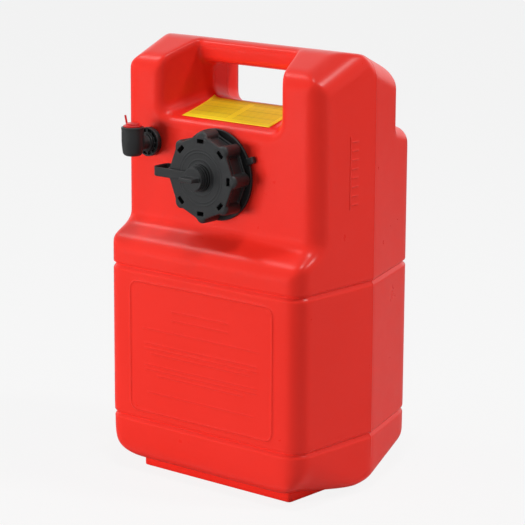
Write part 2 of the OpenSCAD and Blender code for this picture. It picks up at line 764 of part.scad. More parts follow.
// A coil between the ball and the chamber's roof, one tube along a helix.
spring_turns = 6;
spring_steps = 12;
spring_sides = 6;
spring_r = ball_r - 0.9;
spring_base = ball_at + sqrt(ball_r * ball_r - spring_r * spring_r) + wire_r + 0.25;
spring_top = chamber_rise - 2 - wire_r - 0.05;
spring_rings = [for (i = [0 : spring_turns * spring_steps])
  let (a = 360 * i / spring_steps, z = spring_base + (spring_top - spring_base) * i / (spring_turns * spring_steps))
  [for (k = [0 : spring_sides - 1]) let (b = 360 * k / spring_sides, r = spring_r + wire_r * cos(b))
    [r * cos(a), r * sin(a), z + wire_r * sin(b)]]];
module check_spring() {
  n = spring_sides;
  last = spring_turns * spring_steps * n;
  color("#c9ccd0") at_pickup() polyhedron(
    points = [for (ring = spring_rings) each ring],
    faces = concat(
      [[for (k = [0 : n - 1]) k]],
      [for (i = [0 : spring_turns * spring_steps - 1], k = [0 : n - 1])
        each [[i * n + k, (i + 1) * n + k, (i + 1) * n + (k + 1) % n],
              [i * n + k, (i + 1) * n + (k + 1) % n, i * n + (k + 1) % n]]],
      [[for (k = [n - 1 : -1 : 0]) last + k]]));
}

strainer_base = under_at(-upper_front + pickup_depth - strainer_r) + wall + 0.4;
tube_foot = strainer_base + strainer_height - 7;
tube_top = port_height - seat_drop - 0.1;
module pickup_tube() {
  color("#e6e4da") translate([-port_x, -upper_front + pickup_depth, tube_foot]) difference() {
    cylinder(r = tube_r, h = tube_top - tube_foot);
    translate([0, 0, -1]) cylinder(r = tube_r - tube_wall, h = tube_top - tube_foot + 2);
  }
}

cage_ribs = 4;
module strainer_cage() {
  window = strainer_height - 12;
  color(black) translate([-port_x, -upper_front + pickup_depth, strainer_base]) difference() {
    cylinder(r = strainer_r, h = strainer_height);
    translate([0, 0, 2]) cylinder(r = strainer_r - 1.2, h = strainer_height - 9.2);
    translate([0, 0, strainer_height - 7.2]) cylinder(r = tube_r + running, h = 10);
    for (k = [0 : cage_ribs / 2 - 1]) rotate(k * 360 / cage_ribs)
      translate([-strainer_r - 1, -strainer_r / 2 + 0.4, 3]) cube([2 * strainer_r + 2, strainer_r - 0.8, window]);
  }
}

module strainer_mesh() {
  color("#d8d4c4") translate([-port_x, -upper_front + pickup_depth, strainer_base + 2.1]) difference() {
    cylinder(r = strainer_r - 1.25, h = strainer_height - 9.5);
    translate([0, 0, -1]) cylinder(r = strainer_r - 1.65, h = strainer_height);
  }
}

tank_body();
label();
tether_collar();
tether_strap();
fill_cap();
cap_gasket();
vent_screw();
vent_seal();
vent_clip();
outlet_gasket();
outlet_nut();
pickup_housing();
outlet_elbow();
elbow_o_ring();
transport_plug();
check_spring();
check_ball();
check_seat();
pickup_tube();
strainer_cage();
strainer_mesh();
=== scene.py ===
import math

import bpy
import numpy as np
import openvdb
from mathutils import Matrix, Vector


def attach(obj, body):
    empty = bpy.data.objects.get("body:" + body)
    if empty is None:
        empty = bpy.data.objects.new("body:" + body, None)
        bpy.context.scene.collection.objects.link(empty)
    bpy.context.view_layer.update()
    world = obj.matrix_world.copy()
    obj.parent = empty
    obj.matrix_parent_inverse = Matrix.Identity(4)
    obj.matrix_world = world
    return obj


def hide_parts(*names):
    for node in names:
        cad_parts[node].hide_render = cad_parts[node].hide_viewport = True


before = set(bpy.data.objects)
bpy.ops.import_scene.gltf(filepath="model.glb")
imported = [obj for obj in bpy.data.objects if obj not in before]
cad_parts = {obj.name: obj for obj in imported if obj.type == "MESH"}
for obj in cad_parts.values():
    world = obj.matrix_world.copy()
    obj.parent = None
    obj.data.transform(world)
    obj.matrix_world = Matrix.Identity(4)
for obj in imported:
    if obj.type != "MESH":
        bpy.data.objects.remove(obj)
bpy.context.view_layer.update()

MM = 0.001

# The photograph's camera ----------------------------------------------------

VIEW_AZIMUTH = math.radians(40.18)
VIEW_ELEVATION = math.radians(12.53)
VIEW_ROLL = math.radians(0.31)
VIEW_DISTANCE = 2180.3 * MM
VIEW_SIDE = -9.82 * MM
VIEW_RISE = 0.23 * MM
VIEW_TARGET = Vector((0, 0, 193.8 * MM))
VIEW_LENS, VIEW_SENSOR, VIEW_REACH = 161.63, 36, 20


def add_camera():
    a, e = VIEW_AZIMUTH, VIEW_ELEVATION
    back = Vector((math.sin(a) * math.cos(e), -math.cos(a) * math.cos(e), math.sin(e)))
    level = Vector((math.cos(a), math.sin(a), 0))
    rise = back.cross(level)
    right = level * math.cos(VIEW_ROLL) + rise * math.sin(VIEW_ROLL)
    up = rise * math.cos(VIEW_ROLL) - level * math.sin(VIEW_ROLL)
    data = bpy.data.cameras.new("camera")
    data.lens = VIEW_LENS
    data.sensor_width = VIEW_SENSOR
    data.clip_end = VIEW_REACH
    camera = bpy.data.objects.new("camera", data)
    spot = VIEW_TARGET + back * VIEW_DISTANCE + right * VIEW_SIDE + up * VIEW_RISE
    turn = Matrix((right, up, back)).transposed().to_4x4()
    camera.matrix_world = Matrix.Translation(spot) @ turn
    bpy.context.scene.collection.objects.link(camera)
    bpy.context.scene.camera = camera


add_camera()

# Driving sizes of the tank, in millimetres -----------------------------------

HALF_WIDTH = 117.3
SIDE_DRAFT = math.tan(math.radians(1.3))
REAR_TAPER = math.tan(math.radians(18.5))
REAR_LEAN = 0.948  # cosine of the rear taper
LOWER_FRONT, UPPER_FRONT = 102.2, 78.0
LOWER_REAR, UPPER_REAR = 102.6, 57.0
RIDGE_Y, RIDGE_HEIGHT, CREASE_HEIGHT, BROW_HEIGHT = 34.4, 401.8, 396.6, 384.0
TOE_HEIGHT, KEEL_HEIGHT, KEEL_LINE, HEEL_HEIGHT = 10.5, 5.0, 15.0, 24.5
SHOULDER_LOW, SHOULDER_HIGH = 217.0, 234.0
PINCH_Y, HOLE_HALF_WIDTH, SILL_HEIGHT = 22.4, 53.0, 346.4
FLOOR_FALL = math.tan(math.radians(14.6))
SILL_FALL = math.tan(math.radians(14.0))
SILL_LEAN = 0.97  # cosine of the sill's fall
WALL = 3.0
NECK_HEIGHT, NECK_R, NECK_BORE_R, NECK_LENGTH = 287.5, 29.8, 26.0, 17.0
PORT_X, PORT_HEIGHT, PORT_HOLE_R = 80.0, 308.7, 7.8
BORE_START, BORE_END = -20, 60
FILLET, WIDE_FILLET = 1.0, 2.0
FAR, FAR_ABOVE = 300, 700

# Radii of the side outline, from the toe over the heel and the crown to the shoulder
TOE_R, HEEL_R, SHELF_EDGE_R, SHELF_INNER_R, CROWN_R = 18, 8, 28, 7, 30
BROW_R, SHOULDER_HIGH_R, SHOULDER_LOW_R = 20, 14, 20

# Corner radii seen from above, front and rear
LOWER_CORNERS = 18.5, 40
BAND_CORNERS = 16, 33
UPPER_CORNERS = 19, 33
PILLAR_CORNERS = 17.5, 10
GROOVE_CORNERS = 17, 40

# Rolls between the sides and the sloping faces. The shoulder's roll widens upwards, the
# keel's roll runs out towards the front
SHOULDER_ROLL, SHOULDER_ROLL_WIDE, SHOULDER_ROLL_FROM, SHOULDER_ROLL_RATE = 9, 19, 222, 0.6
BAND_RISE, SHELF_ROLL, BROW_ROLL, CROWN_ROLL = 16, 13, 23, 20
KEEL_ROLL, KEEL_ROLL_END, KEEL_ROLL_Y, KEEL_ROLL_RATE = 34, 3, -80, 0.55

FOOT_FRONT, FOOT_REAR, FOOT_HALF_WIDTH = 81.0, 60.0, 88.7
FOOT_FRONT_R, FOOT_REAR_R, FOOT_TOP, FOOT_EDGE, FOOT_FILLET = 3.5, 18, 24, 1.2, 1.5

# The hand recesses: how they flare to the front, and the knuckle they widen from at the rear
RECESS_FLARE = math.tan(math.radians(19.0))
MOUTH_FLARE = math.tan(math.radians(40))
KNUCKLE_BACK, KNUCKLE_OUT, RECESS_EDGE, RECESS_DROP = 4, 6, 12, 60
FLARE_R, PINCH_R, KNUCKLE_R, MOUTH_R, FLOOR_EDGE_R = 9, 4, 16, 3, 13

# The carrying bar's section, as (y, height, radius)
BAR_FRONT, BAR_BACK, BAR_UNDERSIDE, BAR_OVERLAP = 39.0, 13.5, 377.9, 12
BAR_SECTION = (
    (-PINCH_Y, BAR_UNDERSIDE, 3), (BAR_BACK, BAR_UNDERSIDE + 3.5, 5),
    (BAR_BACK, CREASE_HEIGHT - BAR_BACK * REAR_TAPER, 5), (0, CREASE_HEIGHT, 20),
    (-PINCH_Y - 5, RIDGE_HEIGHT - 0.8, 12), (-BAR_FRONT, RIDGE_HEIGHT - 2.6, 6),
    (-BAR_FRONT + 3.5, BAR_UNDERSIDE + 3.5, 8))

# The belt grooves: their heights, and their section as (depth, height, radius)
GROOVES = (193.8, 52.0)
GROOVE_SECTION = ((6, 2.6, 0), (-2.4, 1.4, 0.6), (-2.4, 0.2, 0.8), (0, -2.8, 1), (6, -2.8, 0))
GROOVE_REACH, GROOVE_EDGE = 9, 0.4

# Raised marks: the front panel with its ruled rows, the level scale and the parting seam.
# Rows are (height, half length)
PANEL_MIDDLE, PANEL_HALF_WIDTH, PANEL_HALF_HEIGHT, PANEL_R = 121.7, 85.0, 60.8, 8.0
PANEL_ROWS = (
    (160.0, 34.0), (152.0, 34.0), (140.0, 70.0), (126.0, 68.0), (121.5, 68.0),
    (117.0, 60.0), (106.0, 68.0), (101.5, 68.0), (97.0, 52.0), (80.0, 64.0))
PANEL_Y = -96.0
SCALE_LOW, SCALE_HIGH, SCALE_STEP = 264.0, 329.0, 8.0
SCALE_X, SCALE_LINE_Y, TICK_FRONT, TICK_REAR = 100.0, -35.0, -33.0, -24.0
SEAM_LOW, SEAM_X = 30.0, 60.0
FRAME_RISE, ROW_RISE, SCALE_RISE, SEAM_RISE = 0.45, 0.3, 0.35, 0.25
RIDGE_HALF, FINE_RIDGE_HALF = 0.9, 0.7

# How the sampled tank is softened
HEEL_SOFT_TOP, HEEL_FADE_TOP, HEEL_FADE = 80, 62, 16
HEEL_STRIDES, SKIN_STRIDES = (1, 2, 3, 3), (1, 1, 1, 1, 1, 1)
TANK_LOW, TANK_HIGH, TANK_STEP = (-122, -108, -4), (122, 108, 406), 1.2

# Distance fields: negative inside, in millimetres ----------------------------

ARC_STEP = 6  # degrees between the points of a rounded corner
SHARP_R, NEARLY_STRAIGHT = 0.05, math.pi - 0.01


def both(a, b, k=0.0):
    """Where two forms overlap, their shared edge rounded over about k."""
    if not k:
        return np.maximum(a, b)
    h = np.maximum(k - np.abs(a - b), 0) / k
    return np.maximum(a, b) + h * h * k * 0.25


def either(a, b, k=0.0):
    return -both(-a, -b, k)


def cut(a, b, k=0.0):
    return both(a, -b, k)


def rolled(a, b, r):
    """Where two forms overlap, with an edge of radius r that keeps both faces."""
    u, v = a + r, b + r
    return np.minimum(np.maximum(u, v), 0) + np.hypot(np.maximum(u, 0), np.maximum(v, 0)) - r


def disc(a, b, r):
    return np.hypot(a, b) - r


def between(v, low, high):
    return np.maximum(low - v, v - high)


def block(a, b, half_a, half_b, r):
    return rolled(np.abs(a) - half_a, np.abs(b) - half_b, r)


def mirrored_outline(half):
    """Corners of one side, and then the same corners across x = 0."""
    return list(half) + [(-a, b, r) for a, b, r in reversed(half)]


def rounded(corners):
    """Points of a closed outline from (a, b, radius) corners."""
    points = []
    count = len(corners)
    for i, (a, b, r) in enumerate(corners):
        here = np.array((a, b), float)
        to_last = np.array(corners[i - 1][:2], float) - here
        to_next = np.array(corners[(i + 1) % count][:2], float) - here
        to_last /= np.linalg.norm(to_last)
        to_next /= np.linalg.norm(to_next)
        angle = math.acos(max(-1, min(1, float(to_last @ to_next))))
        if r < SHARP_R or angle > NEARLY_STRAIGHT:
            points.append(here)
            continue
        middle = to_last + to_next
        centre = here + middle / np.linalg.norm(middle) * r / math.sin(angle / 2)
        start = here + to_last * r / math.tan(angle / 2) - centre
        stop = here + to_next * r / math.tan(angle / 2) - centre
        first = math.atan2(start[1], start[0])
        last = math.atan2(stop[1], stop[0])
        sweep = (last - first + 3 * math.pi) % (2 * math.pi) - math.pi
        steps = max(1, math.ceil(abs(math.degrees(sweep)) / ARC_STEP))
        points += [centre + r * np.array((math.cos(t), math.sin(t)))
                   for t in (first + sweep * k / steps for k in range(steps + 1))]
    return np.array(points)


def outline(corners, a, b):
    """Distance from grid points (a, b) to the closed outline, negative inside it."""
    p = rounded(corners)
    a, b = np.broadcast_arrays(a, b)
    nearest = np.full(a.shape, 1e9, np.float32)
    inside = np.zeros(a.shape, bool)
    for (x0, y0), (x1, y1) in zip(p, np.roll(p, -1, axis=0)):
        dx, dy = x1 - x0, y1 - y0
        along = np.clip(((a - x0) * dx + (b - y0) * dy) / (dx * dx + dy * dy + 1e-12), 0, 1)
        nearest = np.minimum(nearest, (a - x0 - along * dx) ** 2 + (b - y0 - along * dy) ** 2)
        crosses = (b >= y0) != (b >= y1)
        if dy:
            inside ^= crosses & (a < x0 + (b - y0) * dx / dy)
    return np.where(inside, -1, 1) * np.sqrt(nearest)


def soften(field, strides):
    """Blurs a sampled field, which leaves flat faces where they are and rounds their edges."""
    for stride in strides:
        for axis in range(3):
            ends = [(stride, stride) if k == axis else (0, 0) for k in range(3)]
            wide = np.pad(field, ends, mode="edge")
            count = field.shape[axis]
            low, mid, high = (np.take(wide, range(start, start + count), axis)
                              for start in (0, stride, 2 * stride))
            field = 0.25 * (low + high) + 0.5 * mid
    return field


def add_piece(name, points, faces):
    """A smooth piece from points in millimetres."""
    mesh = bpy.data.meshes.new(name)
    mesh.from_pydata((points * MM).tolist(), [], faces)
    mesh.validate()
    mesh.shade_smooth()
    piece = bpy.data.objects.new(name, mesh)
    bpy.context.scene.collection.objects.link(piece)
    return piece


def mesh_of(name, field, low, high, step, place=None):
    """Meshes field(x, y, z) over a box of millimetres, and places its points."""
    axes = [np.arange(l, h + step, step, dtype=np.float32) for l, h in zip(low, high)]
    x, y, z = np.meshgrid(*axes, indexing="ij", sparse=True)
    shape = [len(v) for v in axes]
    values = np.array(np.broadcast_to(field(x, y, z), shape), dtype=np.float32, order="C")
    grid = openvdb.FloatGrid(float(values.max()))
    grid.copyFromArray(values)
    points, quads = grid.convertToQuads(isovalue=0.0)
    points = points * step + np.array([v[0] for v in axes])
    if place is not None:
        points = place(points)
    return add_piece(name, points, quads[:, ::-1].tolist())


# The tank ---------------------------------------------------------------------


def side_at(y):
    return HALF_WIDTH - np.where(y < 0, -y * SIDE_DRAFT, y * REAR_TAPER)


def sill_at(y):
    ahead = y < -PINCH_Y
    return SILL_HEIGHT - ((-PINCH_Y - y) * FLOOR_FALL if ahead else (y + PINCH_Y) * SILL_FALL)


def under_at(y):
    ahead = (TOE_HEIGHT - KEEL_HEIGHT) / (LOWER_FRONT - KEEL_LINE)
    behind = (HEEL_HEIGHT - KEEL_HEIGHT) / (LOWER_REAR + KEEL_LINE)
    rise = np.where(y < -KEEL_LINE, (-KEEL_LINE - y) * ahead, (y + KEEL_LINE) * behind)
    return KEEL_HEIGHT + rise


def plan(front, rear, corners):
    """The tank's outline seen from above, between a front and a rear."""
    return mirrored_outline([
        (float(side_at(-front)), -front, corners[0]), (HALF_WIDTH, 0, 0),
        (float(side_at(rear)), rear, corners[1])])


def tank_form(x, y, z):
    side = outline([
        (-LOWER_FRONT, TOE_HEIGHT, TOE_R), (-KEEL_LINE, KEEL_HEIGHT, 0),
        (LOWER_REAR, HEEL_HEIGHT, HEEL_R), (LOWER_REAR, sill_at(LOWER_REAR), SHELF_EDGE_R),
        (UPPER_REAR, sill_at(UPPER_REAR), SHELF_INNER_R),
        (UPPER_REAR, CREASE_HEIGHT - UPPER_REAR * REAR_TAPER, CROWN_R),
        (0, CREASE_HEIGHT, CROWN_R), (-RIDGE_Y, RIDGE_HEIGHT, CROWN_R),
        (-UPPER_FRONT, BROW_HEIGHT, BROW_R), (-UPPER_FRONT, SHOULDER_HIGH, SHOULDER_HIGH_R),
        (-LOWER_FRONT, SHOULDER_LOW, SHOULDER_LOW_R)], y, z)
    lower = outline(plan(LOWER_FRONT, LOWER_REAR, LOWER_CORNERS), x, y)
    band = outline(plan(LOWER_FRONT, LOWER_REAR, BAND_CORNERS), x, y)
    upper = outline(plan(UPPER_FRONT, LOWER_REAR, UPPER_CORNERS), x, y)
    pillars = outline(plan(UPPER_FRONT, UPPER_REAR, PILLAR_CORNERS), x, y)
    ahead = np.abs(x) - HALF_WIDTH - y * SIDE_DRAFT
    behind = (np.abs(x) - HALF_WIDTH + y * REAR_TAPER) * REAR_LEAN
    roll = np.clip(SHOULDER_ROLL + (z - SHOULDER_ROLL_FROM) * SHOULDER_ROLL_RATE,
                   SHOULDER_ROLL, SHOULDER_ROLL_WIDE)
    band = both(band, rolled(ahead, side, roll))
    levels = either(both(lower, z - GROOVES[0]), both(band, z - SHOULDER_HIGH - BAND_RISE))
    shelf = (z - SILL_HEIGHT) * SILL_LEAN + (y + PINCH_Y) * SILL_FALL * SILL_LEAN
    levels = either(levels, both(rolled(upper, shelf, SHELF_ROLL), GROOVES[0] - z))
    body = both(side, either(levels, pillars))
    rise = math.atan2(RIDGE_HEIGHT - BROW_HEIGHT, UPPER_FRONT - RIDGE_Y)
    fall = math.atan(REAR_TAPER)
    brow = (z - RIDGE_HEIGHT) * math.cos(rise) - (y + RIDGE_Y) * math.sin(rise)
    crown = (z - CREASE_HEIGHT) * math.cos(fall) + y * math.sin(fall)
    body = both(both(body, rolled(ahead, brow, BROW_ROLL)), rolled(behind, crown, CROWN_ROLL))
    roll = np.clip(KEEL_ROLL + (KEEL_ROLL_Y - y) * KEEL_ROLL_RATE, KEEL_ROLL_END, KEEL_ROLL)
    return both(body, rolled(np.maximum(ahead, behind), under_at(y) - z, roll))


def foot_field(x, y, z):
    rear = FOOT_HALF_WIDTH - FOOT_REAR * REAR_TAPER
    pad = outline(mirrored_outline([
        (FOOT_HALF_WIDTH, -FOOT_FRONT, FOOT_FRONT_R), (FOOT_HALF_WIDTH, 0, 0),
        (rear, FOOT_REAR, FOOT_REAR_R)]), x, y)
    return both(pad, between(z, 0, FOOT_TOP), FOOT_EDGE)


def recess_field(x, y, z):
    knuckle_y = BAR_BACK + KNUCKLE_BACK
    knuckle_x = HOLE_HALF_WIDTH + KNUCKLE_OUT
    mouth_x = knuckle_x + (UPPER_REAR - knuckle_y) * MOUTH_FLARE
    flare = HOLE_HALF_WIDTH + (UPPER_FRONT - PINCH_Y) * RECESS_FLARE
    seen_above = outline(mirrored_outline([
        (FAR, -FAR, 0), (FAR, -UPPER_FRONT, 0), (flare, -UPPER_FRONT, FLARE_R),
        (HOLE_HALF_WIDTH, -PINCH_Y, PINCH_R), (knuckle_x, knuckle_y, KNUCKLE_R),
        (mouth_x, UPPER_REAR, MOUTH_R), (FAR, UPPER_REAR, 0), (FAR, FAR, 0)]), x, y)
    seen_side = outline([
        (-UPPER_FRONT, -FAR, 0), (-UPPER_FRONT, sill_at(-UPPER_FRONT), FLOOR_EDGE_R),
        (-PINCH_Y, SILL_HEIGHT, PINCH_R), (FAR, sill_at(FAR), 0), (FAR, FAR_ABOVE, 0),
        (-FAR, FAR_ABOVE, 0), (-FAR, -FAR, 0)], y, z)
    return both(both(seen_above, seen_side, RECESS_EDGE), SILL_HEIGHT - RECESS_DROP - z)


def bar_field(x, y, z):
    return both(outline(BAR_SECTION, y, z), np.abs(x) - HOLE_HALF_WIDTH - BAR_OVERLAP)


def carve_groove(skin, x, y, z, level):
    """A belt groove with a steep upper wall and a sloping lower one."""
    near = np.flatnonzero(np.abs(z.ravel() - level) < GROOVE_REACH)
    part = slice(near[0], near[-1] + 1)
    depth = outline(plan(LOWER_FRONT, LOWER_REAR, GROOVE_CORNERS), x, y)
    groove = outline(GROOVE_SECTION, depth, z[:, :, part] - level)
    skin[:, :, part] = cut(skin[:, :, part], groove, GROOVE_EDGE)


def ridge(away, half=RIDGE_HALF):
    """A soft ridge one high, where away is the distance from its middle line."""
    t = np.clip(1.5 - np.abs(away) / half, 0, 1)
    return t * t * (3 - 2 * t)


def raised_marks(x, y, z):
    """Height of the panel frame, the ruled rows, the level scale and the parting seam."""
    wide = np.abs(x) - PANEL_HALF_WIDTH + PANEL_R
    tall = np.abs(z - PANEL_MIDDLE) - PANEL_HALF_HEIGHT + PANEL_R
    corner = np.hypot(np.maximum(wide, 0), np.maximum(tall, 0))
    front = ridge(corner + np.minimum(np.maximum(wide, tall), 0) - PANEL_R) * FRAME_RISE
    for level, half in PANEL_ROWS:
        front = np.maximum(front, ridge(z - level) * (np.abs(x) < half) * ROW_RISE)
    ticks = ridge((z % SCALE_STEP) - SCALE_STEP / 2, FINE_RIDGE_HALF)
    ticks = ticks * ((y > TICK_FRONT) & (y < TICK_REAR))
    scale = np.maximum(ticks, ridge(y - SCALE_LINE_Y, FINE_RIDGE_HALF))
    scale = scale * ((z > SCALE_LOW) & (z < SCALE_HIGH)) * (x > SCALE_X) * SCALE_RISE
    seam = ridge(y, FINE_RIDGE_HALF) * (z > SEAM_LOW) * (np.abs(x) > SEAM_X) * SEAM_RISE
    return np.maximum(np.maximum(front * (y < PANEL_Y), scale), seam)


def tank_skin(x, y, z):
    form = np.array(tank_form(x, y, z))
    low = np.flatnonzero(z.ravel() < HEEL_SOFT_TOP)
    blend = np.clip((HEEL_FADE_TOP - z[:, :, low]) / HEEL_FADE, 0, 1)
    heel = form[:, :, low]
    form[:, :, low] = heel * (1 - blend) + blend * soften(heel, HEEL_STRIDES)
    skin = cut(form, recess_field(x, y, z))
    skin = either(skin, bar_field(x, y, z))
    skin = soften(skin, SKIN_STRIDES)
    skin = either(skin, foot_field(x, y, z), FOOT_FILLET)
    for level in GROOVES:
        carve_groove(skin, x, y, z, level)
    return skin - raised_marks(x, y, z)


def tank_shell(x, y, z):
    skin = tank_skin(x, y, z)
    ahead = -UPPER_FRONT - y
    neck = disc(x, z - NECK_HEIGHT, NECK_R)
    port = disc(x + PORT_X, z - PORT_HEIGHT, PORT_HOLE_R)
    bore = both(disc(x, z - NECK_HEIGHT, NECK_BORE_R), between(ahead, BORE_START, BORE_END))
    shell = either(skin, both(neck, between(ahead, -WALL, NECK_LENGTH), FILLET), WIDE_FILLET)
    shell = cut(shell, skin + WALL)
    shell = cut(shell, bore, FILLET)
    return cut(shell, both(port, between(ahead, BORE_START, BORE_END)))


tank = mesh_of("tank_body_skin", tank_shell, TANK_LOW, TANK_HIGH, TANK_STEP)
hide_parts("tank_body")
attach(tank, "tank")

# Fittings. Each is drawn in u across, v up and h out from the tank's front -----


def at_neck(points):
    u, v, h = points.T
    return np.column_stack([u, -UPPER_FRONT - h, NECK_HEIGHT + v])


def at_port(points):
    u, v, h = points.T
    return np.column_stack([u - PORT_X, -UPPER_FRONT - h, PORT_HEIGHT + v])


def ring(u, v, h, r, low, high, round_r=0.4):
    return rolled(disc(u, v, r), between(h, low, high), round_r)


def rod(u, v, h, r, low, high):
    return both(disc(u, v, r), between(h, low, high))


PAST_REAR, PAST_FRONT = -20, 40  # where a cutting rod ends clear of a fitting


def nearest_turn(u, v, sector):
    """Angle from the middle of the nearest of a ring's equal sectors."""
    turn = np.arctan2(v, u)
    return turn - np.round(turn / sector) * sector


CAP_FACE, CAP_UNDER, CAP_REAR = 23.4, 19.7, 3.8
CAP_FLAT, CAP_LOBE, CAP_LOBE_R, CAP_LOBE_DOME, CAP_LOBE_REAR = 36.0, 35.4, 6.1, 3.2, 0.4
CAP_PLATE_REAR, CAP_PLATE_R, CAP_FLANGE_TOP, CAP_FLANGE_R = 20.4, 0.9, 5.6, 0.6
CAP_SKIRTS = ((3.6, 4.2, 22), (2.2, 5, 18.4))  # inset, from, to
CAP_BEAD, CAP_BEAD_LOW, CAP_BEAD_HIGH, CAP_BEAD_R = 1.1, 17.3, 18.6, 0.4
CAP_RINGS = ((25.2, 0.25), (22.6, 0.25), (16.2, 0.3), (12.6, 0.5))  # radius, rise
CAP_RING_HALF, CAP_RING_R, CAP_RING_FILLET = 0.45, 0.25, 0.3
CAP_BOSS_R, CAP_BOSS_TOP, CAP_BOSS_FILLET = 9, 26.2, 0.8
CAP_BORE_R, CAP_STEM_R = 31.2, 3.05
CAP_SLOT, CAP_SLOT_HALF_DEPTH, CAP_SLOT_HALF_WIDTH, CAP_SLOT_R = 32.6, 1.9, 3.7, 0.4
CAP_SLOT_FLOOR, CAP_SLOT_EDGE = 14.4, 0.5


def cap_field(u, v, h):
    turn = nearest_turn(u, v, math.pi / 4)
    reach = np.hypot(u, v)
    p, q = reach * np.cos(turn), np.abs(reach * np.sin(turn))
    flat = p * math.cos(math.pi / 8) + q * math.sin(math.pi / 8) - CAP_FLAT
    lobe = disc(p - CAP_LOBE, q, CAP_LOBE_R)
    lobe = both(rolled(lobe, h - CAP_FACE, CAP_LOBE_DOME), CAP_REAR + CAP_LOBE_REAR - h)
    body = rolled(flat, between(h, CAP_PLATE_REAR, CAP_FACE), CAP_PLATE_R)
    for inset, low, high in CAP_SKIRTS:
        body = either(body, both(flat + inset, between(h, low, high)))
    bead = rolled(flat + CAP_BEAD, between(h, CAP_BEAD_LOW, CAP_BEAD_HIGH), CAP_BEAD_R)
    flange = rolled(flat, between(h, CAP_REAR, CAP_FLANGE_TOP), CAP_FLANGE_R)
    body = either(either(either(body, bead), flange), lobe, FILLET)
    for r, rise in CAP_RINGS:
        rib = rolled(np.abs(reach - r) - CAP_RING_HALF, h - CAP_FACE - rise, CAP_RING_R)
        body = either(body, rib, CAP_RING_FILLET)
    body = either(body, rod(u, v, h, CAP_BOSS_R, CAP_UNDER, CAP_BOSS_TOP), CAP_BOSS_FILLET)
    body = cut(body, rod(u, v, h, CAP_BORE_R, PAST_REAR, CAP_UNDER))
    body = cut(body, rod(u, v, h, CAP_STEM_R, PAST_REAR, PAST_FRONT))
    slot = block(p - CAP_SLOT, q, CAP_SLOT_HALF_DEPTH, CAP_SLOT_HALF_WIDTH, CAP_SLOT_R)
    return cut(body, both(slot, CAP_SLOT_FLOOR - h), CAP_SLOT_EDGE)


COLLAR_R, COLLAR_THICK, COLLAR_BORE_R, COLLAR_EDGE = 41.5, 2.6, 30.05, 0.5
NUB_ANGLE, NUB_REACH, NUB_HALF_LENGTH, NUB_HALF_WIDTH = math.radians(23), 44, 4.6, 3
NUB_CORNER, NUB_HEIGHT, NUB_EDGE = 1.4, 4.6, 0.8
LUG_REACH, LUG_HALF_LENGTH, LUG_HALF_WIDTH, LUG_CORNER = 44, 6.5, 4.25, 2
POST_REACH, POST_R, POST_TOP = 46, 2.5, 7.6


def collar_field(u, v, h):
    body = ring(u, v, h, COLLAR_R, 0, COLLAR_THICK, COLLAR_EDGE)
    c, s = math.cos(NUB_ANGLE), math.sin(NUB_ANGLE)
    p, q = u * c + v * s, v * c - u * s
    nub = block(p - NUB_REACH, q, NUB_HALF_LENGTH, NUB_HALF_WIDTH, NUB_CORNER)
    body = either(body, rolled(nub, between(h, 0, NUB_HEIGHT), NUB_EDGE), FILLET)
    lug = block(u + LUG_REACH, v, LUG_HALF_LENGTH, LUG_HALF_WIDTH, LUG_CORNER)
    body = either(body, rolled(lug, between(h, 0, COLLAR_THICK), COLLAR_EDGE), FILLET)
    body = either(body, rod(u + POST_REACH, v, h, POST_R, 0, POST_TOP))
    return cut(body, rod(u, v, h, COLLAR_BORE_R, PAST_REAR, PAST_FRONT))


# The strap seen from the side, as (u, h, radius): over the face, round the end, to the post
STRAP_SIDE = (
    (0, 23.7, 0), (-55.5, 23.7, 6), (-55.5, 5, 2), (-POST_REACH, 5, 0), (-POST_REACH, 3, 0),
    (-57.5, 3, 4), (-57.5, 25.7, 8), (0, 25.7, 0))
STRAP_HALF_WIDTH, STRAP_EDGE, STRAP_EYE_EDGE = 4.25, 0.7, 0.5
STRAP_LOW, STRAP_HIGH, STRAP_RING_R, STRAP_HOLE_R = 23.7, 25.7, 12, 9.15
STRAP_EYE_LOW, STRAP_EYE_HIGH, STRAP_EYE_R, STRAP_EYE_HOLE_R = 3, 5, 4.8, 2.55
STRAP_CUT, STRAP_EYE_CUT = 20, 9


def strap_field(u, v, h):
    body = rolled(outline(STRAP_SIDE, u, h), np.abs(v) - STRAP_HALF_WIDTH, STRAP_EDGE)
    loop = ring(u, v, h, STRAP_RING_R, STRAP_LOW, STRAP_HIGH, STRAP_EYE_EDGE)
    eye = ring(u + POST_REACH, v, h, STRAP_EYE_R, STRAP_EYE_LOW, STRAP_EYE_HIGH, STRAP_EYE_EDGE)
    body = either(either(body, loop, FILLET), eye, FILLET)
    body = cut(body, rod(u, v, h, STRAP_HOLE_R, STRAP_CUT, PAST_FRONT))
    return cut(body, rod(u + POST_REACH, v, h, STRAP_EYE_HOLE_R, 0, STRAP_EYE_CUT))


STEM_R, STEM_REAR, STEM_FRONT = 3, 14.4, 28
CLIP_R, CLIP_LOW, CLIP_HIGH = 2.2, 15.55, 16.55
VENT_RINGS = (  # radius, from, to
    (11.7, 27.4, 28.6), (9.4, 28, 30), (11.1, 29.7, 30.6), (9.8, 30, 32), (10.5, 31.3, 33.8))
VENT_RING_EDGE = 0.45
WING_HALF_LENGTH, WING_HALF_WIDTH, WING_R, WING_LOW, WING_TOP = 7.6, 1.9, 0.8, 33, 43.4
WING_FILLET = 1.2


def vent_field(u, v, h):
    body = rod(u, v, h, STEM_R, STEM_REAR, STEM_FRONT)
    body = cut(body, both(-disc(u, v, CLIP_R), between(h, CLIP_LOW, CLIP_HIGH)))
    for r, low, high in VENT_RINGS:
        body = either(body, ring(u, v, h, r, low, high, VENT_RING_EDGE))
    wing = rolled(block(u, v, WING_HALF_LENGTH, WING_HALF_WIDTH, WING_R), h - WING_TOP, WING_R)
    return either(body, both(wing, WING_LOW - h), WING_FILLET)


